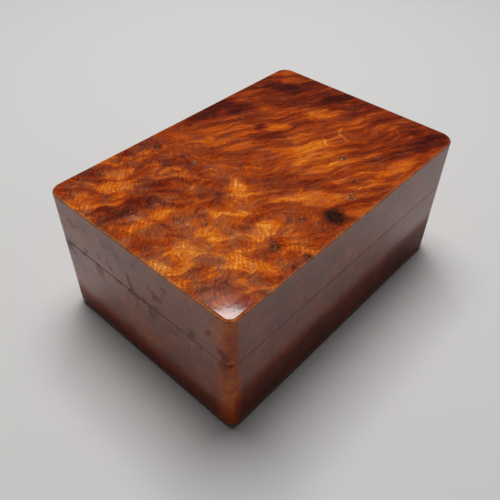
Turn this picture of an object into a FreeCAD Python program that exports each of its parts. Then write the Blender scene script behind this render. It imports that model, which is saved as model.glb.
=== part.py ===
"""A small hinged keepsake box in burl wood: a mitred base, a mitred lid, two brass butt hinges and cloth linings.

Row frame in millimetres: the origin is the middle of the face the box rests on, +X runs along the long side,
+Z is up, and the hinged long side faces +Y. The lid is closed at rest.
"""

import FreeCAD, Part
import math
import os

import Sketcher
from FreeCAD import Placement, Rotation, Vector

# Every driving dimension: alias, millimetres (or degrees), meaning.
SIZES = [
    ("box_length", 100.0, "outside length, along X"),
    ("box_width", 69.0, "outside width, along Y"),
    ("box_height", 44.0, "outside height with the lid closed, felt pad included"),
    ("seam_height", 28.0, "height of the hinge axis, the middle of the seam at the back"),
    ("corner_radius", 4.0, "rounding of the four upright corners, in plan"),
    ("wall_thickness", 5.5, "thickness of the mitred walls"),
    ("top_thickness", 5.0, "edge thickness of the lid's top panel"),
    ("floor_thickness", 4.0, "edge thickness of the floor panel"),
    ("tongue_height", 1.0, "height of the tongue that locates a panel inside the walls"),
    ("tongue_clearance", 0.1, "gap between a tongue and the walls"),
    ("top_edge_radius", 0.5, "rounding of the top panel's upper edge"),
    ("bottom_edge_radius", 0.8, "rounding of the floor panel's lower edge"),
    ("rim_easing", 0.15, "chamfer on the outer arris of both rims"),
    ("front_seam_gap", 0.1, "seam opening at the front"),
    ("leaf_gap", 0.3, "seam opening at the back, the gap between the closed hinge leaves"),
    ("pad_thickness", 1.0, "thickness of the felt pad under the floor"),
    ("pad_inset", 1.5, "how far the felt pad stays inside the outline"),
    ("lining_thickness", 1.2, "thickness of the cloth linings"),
    ("lining_gap", 0.3, "gap between a lining and the walls"),
    ("lining_corner_radius", 1.0, "rounding of a lining's corners, in plan"),
    ("hinge_length", 18.0, "length of a hinge along its pin"),
    ("hinge_spacing", 60.0, "distance between the middles of the two hinges"),
    ("barrel_radius", 1.2, "outer radius of the knuckles, whose backs are flush with the box"),
    ("barrel_clearance", 0.15, "gap between the barrel and the wood or leaf beside it"),
    ("centre_knuckle", 6.9, "length of the lid leaf's single knuckle"),
    ("knuckle_gap", 0.15, "gap between neighbouring knuckles"),
    ("pin_radius", 0.6, "radius of the hinge pin"),
    ("pin_clearance", 0.03, "radial running clearance between pin and knuckles"),
    ("pin_chamfer", 0.15, "chamfer on both ends of the pin"),
    ("leaf_thickness", 0.8, "thickness of a hinge leaf, let into the wood flush"),
    ("leaf_reach", 4.0, "distance from the hinge axis to a leaf's inner edge"),
    ("leaf_clearance", 0.1, "gap between a leaf and the ends and inner edge of its recess"),
    ("leaf_corner_radius", 0.5, "rounding of the two free corners of a leaf"),
    ("stop_angle", 50.5, "slope of the stop chamfers behind the axis, in degrees from the seam"),
    ("screw_spacing", 11.0, "distance between the two screws of a leaf"),
    ("screw_offset", 2.65, "distance from the hinge axis to the screws"),
    ("screw_head_radius", 1.0, "radius of a countersunk screw head"),
    ("screw_shank_radius", 0.55, "radius of a screw's shank"),
    ("screw_length", 5.5, "length of a screw, head included"),
    ("screw_tip_length", 1.2, "length of a screw's pointed tip"),
    ("screw_clearance", 0.03, "radial gap around a screw, and the gap beyond its tip"),
    ("slot_width", 0.3, "width of a screw's slot"),
    ("slot_depth", 0.25, "depth of a screw's slot"),
]

# Places that follow from the driving dimensions, as formulas for expressions.
HALF_LENGTH = "(Sizes.box_length / 2)"
HALF_WIDTH = "(Sizes.box_width / 2)"
FLOOR_TOP = "(Sizes.pad_thickness + Sizes.floor_thickness)"
TOP_UNDERSIDE = "(Sizes.box_height - Sizes.top_thickness)"
BASE_RIM = "(Sizes.seam_height - Sizes.leaf_gap / 2)"
LID_BACK_RIM = "(Sizes.seam_height + Sizes.leaf_gap / 2)"
LID_FRONT_RIM = f"({BASE_RIM} + Sizes.front_seam_gap)"
RIM_RISE = f"({LID_BACK_RIM} - {LID_FRONT_RIM})"
AXIS_Y = "(Sizes.box_width / 2 - Sizes.barrel_radius)"
PLATE_EDGE = "(Sizes.barrel_radius + Sizes.barrel_clearance)"
SIDE_KNUCKLE = "((Sizes.hinge_length - Sizes.centre_knuckle) / 2 - Sizes.knuckle_gap)"
SCREW_HOLE_RADIUS = "(Sizes.screw_shank_radius + Sizes.screw_clearance)"

# How far a wall is turned about Z from the front wall's place, in degrees.
FRONT, RIGHT, BACK, LEFT = 0, 90, 180, -90
UPSIDE_DOWN = Rotation(Vector(1, 0, 0), 180)
SIDES = {"left": -1, "right": 1}

document = FreeCAD.newDocument("keepsake_box")
sheet = document.addObject("Spreadsheet::Sheet", "Sizes")
for row, (alias, size, meaning) in enumerate(SIZES, start=1):
    sheet.set(f"A{row}", meaning)
    sheet.set(f"B{row}", str(size))
    sheet.setAlias(f"B{row}", alias)
document.recompute()


# ---------------------------------------------------------------- helpers


def number(formula):
    """The present value of a formula."""
    return float(sheet.evalExpression(formula))


def new_body(label):
    """An empty body that carries a sub-part's name."""
    body = document.addObject("PartDesign::Body", label)
    body.Label = label
    return body


def place(body, x="0", y="0", z="0", rotation=None):
    """Puts a body at a point given by formulas."""
    spot = Vector(number(x), number(y), number(z))
    body.Placement = Placement(spot, rotation or Rotation())
    for axis, formula in (("x", x), ("y", y), ("z", z)):
        body.setExpression(f"Placement.Base.{axis}", formula)


def sketch_on(body, name, role, lift="0"):
    """A sketch on one of the body's own origin planes, lifted along the plane's normal."""
    sketch = body.newObject("Sketcher::SketchObject", name)
    plane = next(feature for feature in body.Origin.OriginFeatures if feature.Role == role)
    sketch.AttachmentSupport = [(plane, "")]
    sketch.MapMode = "FlatFace"
    sketch.AttachmentOffset = Placement(Vector(0, 0, number(lift)), Rotation())
    sketch.setExpression("AttachmentOffset.Base.z", lift)
    return sketch


def drive(sketch, kind, *reference, formula):
    """Adds a dimension to a sketch and binds it to a formula."""
    index = sketch.addConstraint(Sketcher.Constraint(kind, *reference, number(formula)))
    sketch.setExpression(f"Constraints[{index}]", formula)


def polygon(sketch, corners):
    """A closed outline through corners given as (x formula, y formula)."""
    points = [Vector(number(x), number(y), 0) for x, y in corners]
    following = points[1:] + points[:1]
    lines = [sketch.addGeometry(Part.LineSegment(a, b)) for a, b in zip(points, following)]
    for line, successor in zip(lines, lines[1:] + lines[:1]):
        sketch.addConstraint(Sketcher.Constraint("Coincident", line, 2, successor, 1))
    for line, (x, y) in zip(lines, corners):
        drive(sketch, "DistanceX", -1, 1, line, 1, formula=x)
        drive(sketch, "DistanceY", -1, 1, line, 1, formula=y)


def rectangle(sketch, left, right, bottom, top):
    """A rectangle whose four sides are formulas."""
    polygon(sketch, [(left, bottom), (right, bottom), (right, top), (left, top)])


def centred_rectangle(sketch, length, width):
    """A rectangle round the sketch's origin."""
    rectangle(sketch, f"-{length} / 2", f"{length} / 2", f"-{width} / 2", f"{width} / 2")


def circle(sketch, x, y, radius):
    """A circle whose centre and radius are formulas."""
    centre = Vector(number(x), number(y), 0)
    index = sketch.addGeometry(Part.Circle(centre, Vector(0, 0, 1), number(radius)))
    drive(sketch, "DistanceX", -1, 1, index, 3, formula=x)
    drive(sketch, "DistanceY", -1, 1, index, 3, formula=y)
    drive(sketch, "Radius", index, formula=radius)


def pad(body, sketch, length):
    """Raises a sketch along its normal."""
    feature = body.newObject("PartDesign::Pad", f"{sketch.Name}_pad")
    feature.Profile = sketch
    feature.Length = number(length)
    feature.setExpression("Length", length)
    document.recompute()


def pocket(body, sketch, length, along_normal=False, both_ways=False):
    """Cuts a sketch into a body, against the sketch's normal unless told otherwise, and checks that it cut."""
    before = body.Shape.Volume
    feature = body.newObject("PartDesign::Pocket", f"{sketch.Name}_pocket")
    feature.Profile = sketch
    feature.Length = number(length)
    feature.setExpression("Length", length)
    feature.Reversed = along_normal
    if both_ways:
        feature.SideType = "Symmetric"
    document.recompute()
    if body.Shape.Volume >= before:
        raise RuntimeError(f"{feature.Name} removed nothing")


def dress(body, kind, size_name, size, test):
    """A Fillet or Chamfer of one size on every edge of the body that a test accepts."""
    base = body.Tip
    names = [f"Edge{i}" for i, edge in enumerate(base.Shape.Edges, start=1) if test(edge)]
    feature = body.newObject(f"PartDesign::{kind}", f"{base.Name}_{kind.lower()}")
    feature.Base = (base, names)
    setattr(feature, size_name, number(size))
    feature.setExpression(size_name, size)
    document.recompute()


def fillet(body, radius, test):
    """Rounds every edge that a test accepts."""
    dress(body, "Fillet", "Radius", radius, test)


def chamfer(body, size, test):
    """Bevels every edge that a test accepts."""
    dress(body, "Chamfer", "Size", size, test)


def straight(edge):
    """True for a straight edge."""
    return edge.Curve.TypeId == "Part::GeomLine"


def upright(edge):
    """True for a straight edge that runs along Z."""
    return straight(edge) and abs(edge.tangentAt(edge.FirstParameter).z) > 0.999


def near_height(edge, height, reach=1e-4):
    """True for an edge that stays within reach of one height."""
    box = edge.BoundBox
    return max(abs(box.ZMin - height), abs(box.ZMax - height)) < reach


# ---------------------------------------------------------------- panels, felt pad and linings


def slab(label, length, width, thickness, corner_radius, foot):
    """A flat body with rounded corners, centred on the origin in plan, with its lower face at the height foot."""
    body = new_body(label)
    outline = sketch_on(body, f"{label}_outline", "XY_Plane")
    centred_rectangle(outline, length, width)
    pad(body, outline, thickness)
    fillet(body, corner_radius, upright)
    place(body, z=foot)
    return body


def panel(label, thickness, edge_radius, foot, is_top):
    """A panel of the full outline: its outer face has a rounded edge, its inner face a tongue inside the walls."""
    body = slab(label, "Sizes.box_length", "Sizes.box_width", thickness, "Sizes.corner_radius", foot)
    outer_face = number(thickness) if is_top else 0
    fillet(body, edge_radius, lambda edge: near_height(edge, outer_face))
    tongue = sketch_on(body, f"{label}_tongue", "XY_Plane", "-Sizes.tongue_height" if is_top else thickness)
    margin = "2 * (Sizes.wall_thickness + Sizes.tongue_clearance)"
    centred_rectangle(tongue, f"(Sizes.box_length - {margin})", f"(Sizes.box_width - {margin})")
    pad(body, tongue, "Sizes.tongue_height")
    return body


def lining(label, foot):
    """A thin cloth pad that fills the space inside the walls."""
    margin = "2 * (Sizes.wall_thickness + Sizes.lining_gap)"
    length, width = f"(Sizes.box_length - {margin})", f"(Sizes.box_width - {margin})"
    return slab(label, length, width, "Sizes.lining_thickness", "Sizes.lining_corner_radius", foot)


def felt_pad(label):
    """The felt that the box stands on, a little inside the outline."""
    length = "(Sizes.box_length - 2 * Sizes.pad_inset)"
    width = "(Sizes.box_width - 2 * Sizes.pad_inset)"
    return slab(label, length, width, "Sizes.pad_thickness", "(Sizes.corner_radius - Sizes.pad_inset)", "0")


# ---------------------------------------------------------------- mitred walls


def wall_outline(sketch, span, reach):
    """Plan of a wall as it stands at the front: outer face at y = -reach, mitred ends, rounded outer corners."""
    radius = number("Sizes.corner_radius")
    thickness = number("Sizes.wall_thickness")
    half, front = number(span) / 2, -number(reach)
    bend = radius * (1 - math.sqrt(0.5))

    def corner(side, inward):
        """A point on the mitre line of one end, so far inward from where the two outer faces would meet."""
        return Vector(side * (half - inward), front + inward, 0)

    def corner_arc(side, start, end):
        ring = Part.Circle(corner(side, radius), Vector(0, 0, 1), radius)
        return sketch.addGeometry(Part.ArcOfCircle(ring, math.radians(start), math.radians(end)))

    flat_end = Vector(half - radius, front, 0)
    flat_start = Vector(radius - half, front, 0)
    outer = sketch.addGeometry(Part.LineSegment(flat_start, flat_end))
    right_arc = corner_arc(1, 270, 315)
    right_mitre = sketch.addGeometry(Part.LineSegment(corner(1, bend), corner(1, thickness)))
    inner = sketch.addGeometry(Part.LineSegment(corner(1, thickness), corner(-1, thickness)))
    left_mitre = sketch.addGeometry(Part.LineSegment(corner(-1, thickness), corner(-1, bend)))
    left_arc = corner_arc(-1, 225, 270)
    rules = [
        ("Tangent", outer, 2, right_arc, 1),
        ("Coincident", right_arc, 2, right_mitre, 1),
        ("Coincident", right_mitre, 2, inner, 1),
        ("Coincident", inner, 2, left_mitre, 1),
        ("Coincident", left_mitre, 2, left_arc, 1),
        ("Tangent", left_arc, 2, outer, 1),
        ("Symmetric", outer, 1, outer, 2, -2),
        ("Symmetric", inner, 1, inner, 2, -2),
        ("PointOnObject", right_arc, 3, right_mitre),
        ("PointOnObject", left_arc, 3, left_mitre),
        ("Angle", right_mitre, math.radians(135)),
        ("Angle", left_mitre, math.radians(225)),
    ]
    for rule in rules:
        sketch.addConstraint(Sketcher.Constraint(*rule))
    drive(sketch, "Radius", right_arc, formula="Sizes.corner_radius")
    drive(sketch, "DistanceX", outer, 1, outer, 2, formula=f"{span} - 2 * Sizes.corner_radius")
    drive(sketch, "DistanceY", outer, 1, -1, 1, formula=reach)
    drive(sketch, "DistanceY", outer, 2, inner, 1, formula="Sizes.wall_thickness")


def wall(label, turn, foot, top):
    """A mitred wall that stands from the height foot to the height top."""
    long_side = turn in (FRONT, BACK)
    span = "Sizes.box_length" if long_side else "Sizes.box_width"
    body = new_body(label)
    plan = sketch_on(body, f"{label}_plan", "XY_Plane")
    wall_outline(plan, span, HALF_WIDTH if long_side else HALF_LENGTH)
    pad(body, plan, f"{top} - {foot}")
    place(body, z=foot, rotation=Rotation(Vector(0, 0, 1), turn))
    return body


def ease_rim(body, rim):
    """Chamfers the outer arris of a wall's rim: its straight stretch and the two corner arcs."""
    outer_face = body.Shape.copy()
    outer_face.Placement = Placement()
    front = outer_face.BoundBox.YMin
    reach = number(RIM_RISE) + 1e-3

    def on_outer_arris(edge):
        flat = straight(edge) and edge.BoundBox.YMax < front + 1e-3
        return near_height(edge, number(rim), reach) and (flat or not straight(edge))

    chamfer(body, "Sizes.rim_easing", on_outer_arris)


def slope_rim(body, back):
    """Takes a thin wedge off an end wall's lower rim, so that the seam opens towards the hinges."""
    wedge = sketch_on(body, f"{body.Name}_wedge", "XZ_Plane")
    thin_end, thick_end = f"{-back} * {HALF_WIDTH}", f"{back} * {HALF_WIDTH}"
    polygon(wedge, [(thin_end, "0"), (thick_end, "0"), (thick_end, RIM_RISE)])
    pocket(body, wedge, "2 * Sizes.box_length", both_ways=True)


def cut_stop(body, axis_height, way):
    """Slopes a back wall away from the hinge axis; the slopes of base and lid meet when the lid is fully open."""
    axis = f"-{AXIS_Y}"
    outside = f"-({HALF_WIDTH} + 1)"
    far = "(Sizes.barrel_radius + 1) * tan(Sizes.stop_angle)"
    slope = sketch_on(body, f"{body.Name}_stop", "YZ_Plane")
    corners = [
        (axis, axis_height),
        (outside, f"{axis_height} + {way} * {far}"),
        (outside, f"{axis_height} - {way}"),
        (axis, f"{axis_height} - {way}"),
    ]
    polygon(slope, corners)
    pocket(body, slope, "2 * Sizes.box_length", both_ways=True)


def let_in_hinges(body, rim, axis_height, way):
    """Cuts two leaf recesses, four screw holes and the room for two barrels into a back wall's rim.

    way is -1 where the cuts go down from the rim and 1 where they go up.
    """
    recess_floor = f"({rim} + {way} * Sizes.leaf_thickness)"
    end = "(Sizes.hinge_length / 2 + Sizes.leaf_clearance)"
    inner_edge = f"({AXIS_Y} - Sizes.leaf_reach - Sizes.leaf_clearance)"
    recess = sketch_on(body, f"{body.Name}_recess", "XY_Plane", rim)
    holes = sketch_on(body, f"{body.Name}_screw_holes", "XY_Plane", recess_floor)
    for side in SIDES.values():
        middle = f"{side} * Sizes.hinge_spacing / 2"
        rectangle(recess, f"{middle} - {end}", f"{middle} + {end}", f"-{AXIS_Y}", f"-{inner_edge}")
        for screw in SIDES.values():
            x = f"{middle} + {screw} * Sizes.screw_spacing / 2"
            circle(holes, x, f"-({AXIS_Y} - Sizes.screw_offset)", SCREW_HOLE_RADIUS)
    upward = way > 0
    pocket(body, recess, "Sizes.leaf_thickness", along_normal=upward)
    hole_depth = "Sizes.screw_length - Sizes.leaf_thickness + Sizes.screw_clearance"
    pocket(body, holes, hole_depth, along_normal=upward)
    for name, side in SIDES.items():
        middle = f"{side} * Sizes.hinge_spacing / 2"
        barrel = sketch_on(body, f"{body.Name}_{name}_barrel", "YZ_Plane", middle)
        circle(barrel, f"-{AXIS_Y}", axis_height, PLATE_EDGE)
        pocket(body, barrel, f"2 * {end}", both_ways=True)


# ---------------------------------------------------------------- hinges and screws


def hinge_leaf(label, side, knuckles, way):
    """One leaf of a butt hinge, in a frame whose X axis is the hinge axis; its plate reaches towards -Y.

    knuckles lists (start, length) formulas along X. way is -1 for the leaf under the seam and 1 for the one above.
    """
    body = new_body(label)
    seam_face = f"{way} * Sizes.leaf_gap / 2"
    plate_foot = seam_face if way > 0 else f"({seam_face} - Sizes.leaf_thickness)"
    plate = sketch_on(body, f"{label}_plate", "XY_Plane", plate_foot)
    half = "(Sizes.hinge_length / 2)"
    rectangle(plate, f"-{half}", half, "-Sizes.leaf_reach", f"-{PLATE_EDGE}")
    pad(body, plate, "Sizes.leaf_thickness")
    webs = sketch_on(body, f"{label}_webs", "XY_Plane", plate_foot)
    for start, length in knuckles:
        rectangle(webs, start, f"{start} + {length}", "-Sizes.leaf_reach", "0")
    pad(body, webs, "Sizes.leaf_thickness")
    fillet(body, "Sizes.leaf_corner_radius", is_free_corner)
    for index, (start, length) in enumerate(knuckles, start=1):
        ring = sketch_on(body, f"{label}_knuckle_{index}", "YZ_Plane", start)
        circle(ring, "0", "0", "Sizes.barrel_radius")
        pad(body, ring, length)
    bore = sketch_on(body, f"{label}_bore", "YZ_Plane")
    circle(bore, "0", "0", "Sizes.pin_radius + Sizes.pin_clearance")
    pocket(body, bore, "2 * Sizes.hinge_length", both_ways=True)
    drill_countersinks(body, seam_face, way > 0)
    place(body, x=f"{side} * Sizes.hinge_spacing / 2", y=AXIS_Y, z="Sizes.seam_height")
    return body


def is_free_corner(edge):
    """True for the two upright edges at the free corners of a leaf's plate."""
    box = edge.BoundBox
    at_end = abs(abs(box.XMin) - number("Sizes.hinge_length") / 2) < 1e-4
    return upright(edge) and at_end and abs(box.YMin + number("Sizes.leaf_reach")) < 1e-4


def drill_countersinks(body, seam_face, along_normal):
    """Two countersunk holes through a leaf, whose wide ends are at the seam."""
    centres = sketch_on(body, f"{body.Name}_screw_centres", "XY_Plane", seam_face)
    for screw in SIDES.values():
        circle(centres, f"{screw} * Sizes.screw_spacing / 2", "-Sizes.screw_offset", SCREW_HOLE_RADIUS)
    before = body.Shape.Volume
    hole = body.newObject("PartDesign::Hole", f"{body.Name}_screw_holes")
    hole.Profile = centres
    document.recompute()
    hole.Reversed = along_normal
    hole.DepthType = "ThroughAll"
    hole.setExpression("Diameter", f"2 * {SCREW_HOLE_RADIUS}")
    hole.HoleCutType = "Countersink"
    hole.HoleCutCustomValues = True
    hole.setExpression("HoleCutDiameter", "2 * (Sizes.screw_head_radius + Sizes.screw_clearance)")
    hole.HoleCutCountersinkAngle = 90
    document.recompute()
    if body.Shape.Volume >= before:
        raise RuntimeError(f"{hole.Name} removed nothing")


def hinge_pin(label, side):
    """The plain pin of a hinge, bevelled at both ends."""
    body = new_body(label)
    section = sketch_on(body, f"{label}_section", "YZ_Plane", "-Sizes.hinge_length / 2")
    circle(section, "0", "0", "Sizes.pin_radius")
    pad(body, section, "Sizes.hinge_length")
    chamfer(body, "Sizes.pin_chamfer", lambda edge: not straight(edge))
    place(body, x=f"{side} * Sizes.hinge_spacing / 2", y=AXIS_Y, z="Sizes.seam_height")
    return body


def screw(label, x, z, rotation):
    """A slotted countersunk screw whose head lies in the plane z = 0 of its own frame and whose tip points down."""
    body = new_body(label)
    profile = sketch_on(body, f"{label}_profile", "XZ_Plane")
    head, shank = "Sizes.screw_head_radius", "Sizes.screw_shank_radius"
    corners = [
        ("0", "0"),
        (head, "0"),
        (shank, f"{shank} - {head}"),
        (shank, "Sizes.screw_tip_length - Sizes.screw_length"),
        ("0", "-Sizes.screw_length"),
    ]
    polygon(profile, corners)
    turned = body.newObject("PartDesign::Revolution", f"{label}_turned")
    turned.Profile = profile
    turned.ReferenceAxis = (profile, ["V_Axis"])
    turned.Angle = 360
    document.recompute()
    slot = sketch_on(body, f"{label}_slot", "XY_Plane")
    centred_rectangle(slot, "(3 * Sizes.screw_head_radius)", "Sizes.slot_width")
    pocket(body, slot, "Sizes.slot_depth")
    place(body, x=x, y=f"{AXIS_Y} - Sizes.screw_offset", z=z, rotation=rotation)
    return body


def screw_set(label, z, rotation):
    """The four screws of the two leaves on one side of the seam, as one group of separate solids."""
    screws = []
    for hinge_name, hinge in SIDES.items():
        for screw_name, offset in SIDES.items():
            x = f"{hinge} * Sizes.hinge_spacing / 2 + {offset} * Sizes.screw_spacing / 2"
            screws.append(screw(f"{label}_{hinge_name}_{screw_name}", x, z, rotation))
    group = document.addObject("Part::Compound", label)
    group.Label = label
    group.Links = screws
    document.recompute()
    return group


# ---------------------------------------------------------------- the base and the lid


def build_base():
    """Everything that stays still: floor, walls, felt, lining, lower hinge leaves, pins and screws."""
    rim = f"({BASE_RIM} - {FLOOR_TOP})"
    axis_height = f"(Sizes.seam_height - {FLOOR_TOP})"
    parts = [
        felt_pad("base_felt_pad"),
        panel("base_floor_panel", "Sizes.floor_thickness", "Sizes.bottom_edge_radius", "Sizes.pad_thickness", False),
        lining("base_lining", f"{FLOOR_TOP} + Sizes.tongue_height"),
    ]
    for label, turn in (("base_front_wall", FRONT), ("base_left_wall", LEFT), ("base_right_wall", RIGHT)):
        body = wall(label, turn, FLOOR_TOP, BASE_RIM)
        ease_rim(body, rim)
        parts.append(body)
    back = wall("base_back_wall", BACK, FLOOR_TOP, BASE_RIM)
    cut_stop(back, axis_height, -1)
    let_in_hinges(back, rim, axis_height, -1)
    parts.append(back)
    first, last = "-Sizes.hinge_length / 2", f"Sizes.hinge_length / 2 - {SIDE_KNUCKLE}"
    for name, side in SIDES.items():
        knuckles = [(first, SIDE_KNUCKLE), (last, SIDE_KNUCKLE)]
        parts.append(hinge_leaf(f"{name}_hinge_base_leaf", side, knuckles, -1))
        parts.append(hinge_pin(f"{name}_hinge_pin", side))
    parts.append(screw_set("base_hinge_screws", BASE_RIM, Rotation()))
    return parts


def build_lid():
    """Everything that turns about the hinge axis: top panel, walls, lining, upper hinge leaves and screws."""
    parts = [
        panel("lid_top_panel", "Sizes.top_thickness", "Sizes.top_edge_radius", TOP_UNDERSIDE, True),
        lining("lid_lining", f"{TOP_UNDERSIDE} - Sizes.tongue_height - Sizes.lining_thickness"),
    ]
    front = wall("lid_front_wall", FRONT, LID_FRONT_RIM, TOP_UNDERSIDE)
    ease_rim(front, "0")
    parts.append(front)
    for label, turn, back_end in (("lid_left_wall", LEFT, -1), ("lid_right_wall", RIGHT, 1)):
        body = wall(label, turn, LID_FRONT_RIM, TOP_UNDERSIDE)
        slope_rim(body, back_end)
        ease_rim(body, "0")
        parts.append(body)
    axis_height = f"(Sizes.seam_height - {LID_BACK_RIM})"
    back = wall("lid_back_wall", BACK, LID_BACK_RIM, TOP_UNDERSIDE)
    cut_stop(back, axis_height, 1)
    let_in_hinges(back, "0", axis_height, 1)
    parts.append(back)
    for name, side in SIDES.items():
        knuckles = [("-Sizes.centre_knuckle / 2", "Sizes.centre_knuckle")]
        parts.append(hinge_leaf(f"{name}_hinge_lid_leaf", side, knuckles, 1))
    parts.append(screw_set("lid_hinge_screws", LID_BACK_RIM, UPSIDE_DOWN))
    return parts


def check(parts):
    """Stops before anything is written if an object failed or a sub-part's shape isn't sound."""
    document.recompute()
    for item in document.Objects:
        if "Invalid" in item.State or "Error" in item.State:
            raise RuntimeError(f"{item.Name} failed: {item.State}")
    for part in parts:
        if part.Shape.isNull() or not part.Shape.isValid():
            raise RuntimeError(f"{part.Label} has no sound shape")
        if not part.Shape.Solids:
            raise RuntimeError(f"{part.Label} holds no solid")


parts = build_base() + build_lid()
check(parts)
os.makedirs("parts", exist_ok=True)
for part in parts:
    part.Shape.exportStep(f"parts/{part.Label}.step")
    print(f"{part.Label}: {len(part.Shape.Solids)} solid(s), {part.Shape.Volume:.1f} cubic millimetres")
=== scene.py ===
"""Looks of the keepsake box: lacquered burl wood, brass hinges, velvet linings and felt.

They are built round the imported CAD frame. Lengths are in millimetres unless a comment says otherwise.
"""

import math

import bpy
import numpy as np
from mathutils import Matrix, Vector


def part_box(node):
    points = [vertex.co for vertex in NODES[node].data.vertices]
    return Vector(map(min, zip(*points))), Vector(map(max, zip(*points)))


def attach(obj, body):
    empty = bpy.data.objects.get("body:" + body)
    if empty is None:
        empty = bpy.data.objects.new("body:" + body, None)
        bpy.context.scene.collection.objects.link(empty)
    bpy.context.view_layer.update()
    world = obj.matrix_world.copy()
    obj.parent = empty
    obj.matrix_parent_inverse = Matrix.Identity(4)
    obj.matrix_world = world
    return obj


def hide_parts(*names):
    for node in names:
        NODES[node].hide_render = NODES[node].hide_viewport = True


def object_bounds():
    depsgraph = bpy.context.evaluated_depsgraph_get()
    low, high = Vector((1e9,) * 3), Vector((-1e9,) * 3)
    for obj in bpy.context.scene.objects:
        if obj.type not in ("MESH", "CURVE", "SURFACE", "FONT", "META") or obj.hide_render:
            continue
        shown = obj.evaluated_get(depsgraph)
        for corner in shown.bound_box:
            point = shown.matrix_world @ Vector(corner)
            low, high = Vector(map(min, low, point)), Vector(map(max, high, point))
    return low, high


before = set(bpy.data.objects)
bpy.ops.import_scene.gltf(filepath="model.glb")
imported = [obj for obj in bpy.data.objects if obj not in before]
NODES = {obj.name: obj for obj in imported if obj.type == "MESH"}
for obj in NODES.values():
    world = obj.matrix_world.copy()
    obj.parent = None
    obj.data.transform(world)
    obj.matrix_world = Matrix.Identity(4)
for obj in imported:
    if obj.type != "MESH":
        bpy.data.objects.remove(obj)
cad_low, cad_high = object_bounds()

MM = 0.001  # in metres, the unit of the frame and of the scene

# ---------------------------------------------------------------- sizes, in millimetres, from the frame


def node_box(name):
    """Lowest and highest corner of a CAD node, in millimetres."""
    low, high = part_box(name)
    return low / MM, high / MM


def rounding(name, along, across, sign=1):
    """Radius of a node's rounded edge: how far its outermost face on one axis stops short on another."""
    points = np.array([vertex.co for vertex in NODES[name].data.vertices]) / MM * sign
    outermost = points[:, along] > points[:, along].max() - 0.001
    return points[:, across].max() - points[outermost, across].max()


HALF_X, HALF_Y, TOP_Z = cad_high.x / MM, cad_high.y / MM, cad_high.z / MM
WALL = node_box("base_front_wall")[1].y + HALF_Y
BASE_RIM_Z = node_box("base_front_wall")[1].z
TOP_ARRIS = rounding("lid_top_panel", 0, 2)
LOWER_ARRIS = rounding("base_floor_panel", 0, 2, -1)

# Upright corners: those at the back are as in the frame, the front left one is tighter and the front right
# one softer.
CORNER = rounding("lid_top_panel", 0, 1)
NEAR_CORNER = CORNER - 1.2
FRONT_RIGHT_CORNER = CORNER + 1.0

# Small roundings, gaps and waves that the frame leaves out.
RIM_ARRIS = 0.1
GLUED_ARRIS = 0.01
MITRE_GAP = 0.01
TONGUE_GAP = 0.1
LACQUER_WAVE = 0.02

# Wear of a panel's arris, in shares of its radius: how far in it is strongest, and its half width.
WEAR_MIDDLE = 0.4
WEAR_REACH = 0.7

# The small knock in the seam. It is a little lower than it is wide.
DENT_RADIUS = 0.9
DENT_DEPTH = 0.35
DENT_FLATNESS = 0.8

# How finely the meshes are divided. The arc of a corner is squeezed into INNER_END of a wall's inner face.
PANEL_STEP = 0.5
FLOOR_STEP = 1.5
WALL_STEP = 1.0
LINING_STEP = 1.5
FELT_STEP = 1.2
ARC_STEPS = 12
ARRIS_STEPS = 4
SIDE_ROWS = 3
RIM_ZONE = 1.5
RIM_ROWS = 6
INNER_END = 1.0
SHARP_ANGLE = math.radians(40)

# The linings. Their shares are of the thickness: where the free face starts, its rolled edge, and the
# furthest that a point moves in the simulation, which runs at SIM_SCALE times the size.
LINING_SLACK = 0.15
LINING_CORNER = 1.2
LINING_WAVE = 0.06
START_SHARE = 0.55
ROLL_SHARE = 0.4
SWELL_SHARE = 0.45
SIM_SCALE = 10
SIM_FRAMES = 20

# The felt pad: how ragged its edge is, how deep its dimples are, and the rounded share of its thickness.
FELT_RAG = 0.12
FELT_DIMPLE = 0.03
FELT_SHARE = 0.35

# ---------------------------------------------------------------- mesh helpers


def make_object(name, points, faces, materials, face_materials=None, wear=None):
    """A smooth-shaded mesh object from points in millimetres."""
    mesh = bpy.data.meshes.new(name)
    mesh.from_pydata((np.asarray(points) * MM).tolist(), [], faces)
    mesh.update()
    for material in materials:
        mesh.materials.append(material)
    if face_materials is not None:
        mesh.polygons.foreach_set("material_index", np.asarray(face_materials, np.int32))
    if wear is not None:
        attribute = mesh.attributes.new("wear", "FLOAT", "POINT")
        attribute.data.foreach_set("value", np.asarray(wear, np.float32))
    mesh.shade_smooth()
    mesh.set_sharp_from_angle(angle=SHARP_ANGLE)
    thing = bpy.data.objects.new(name, mesh)
    bpy.context.scene.collection.objects.link(thing)
    modifier = thing.modifiers.new("flat_faces", "WEIGHTED_NORMAL")
    modifier.keep_sharp = True
    return thing


def add_piece(thing, body, slot, *replaced):
    """Hangs a finished piece on its body, in place of the CAD nodes that it stands for."""
    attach(thing, body)
    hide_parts(*replaced)


def line_places(half, step, arris, corner):
    """Grid lines from -half to half: close over a rounded arris and beside a corner, then evenly spaced."""
    angles = np.linspace(0, math.pi / 2, ARRIS_STEPS + 1)
    edge = half - arris * (1 - np.cos(angles))
    corner_zone = np.linspace(half - arris, half - corner, max(2, round((corner - arris) / step) + 1))[1:]
    count = round(2 * (half - corner) / step)
    middle = np.linspace(half - corner, corner - half, count + 1)[1:-1]
    upper = np.concatenate([edge, corner_zone])
    return np.concatenate([-upper, middle[::-1], upper[::-1]])


def corner_radius(x, y):
    """Rounding of the upright corner in a point's quarter: the front left one is tightest, by hand work."""
    front = np.where(x < 0, NEAR_CORNER, FRONT_RIGHT_CORNER)
    return np.where(y < 0, front, CORNER)


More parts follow.
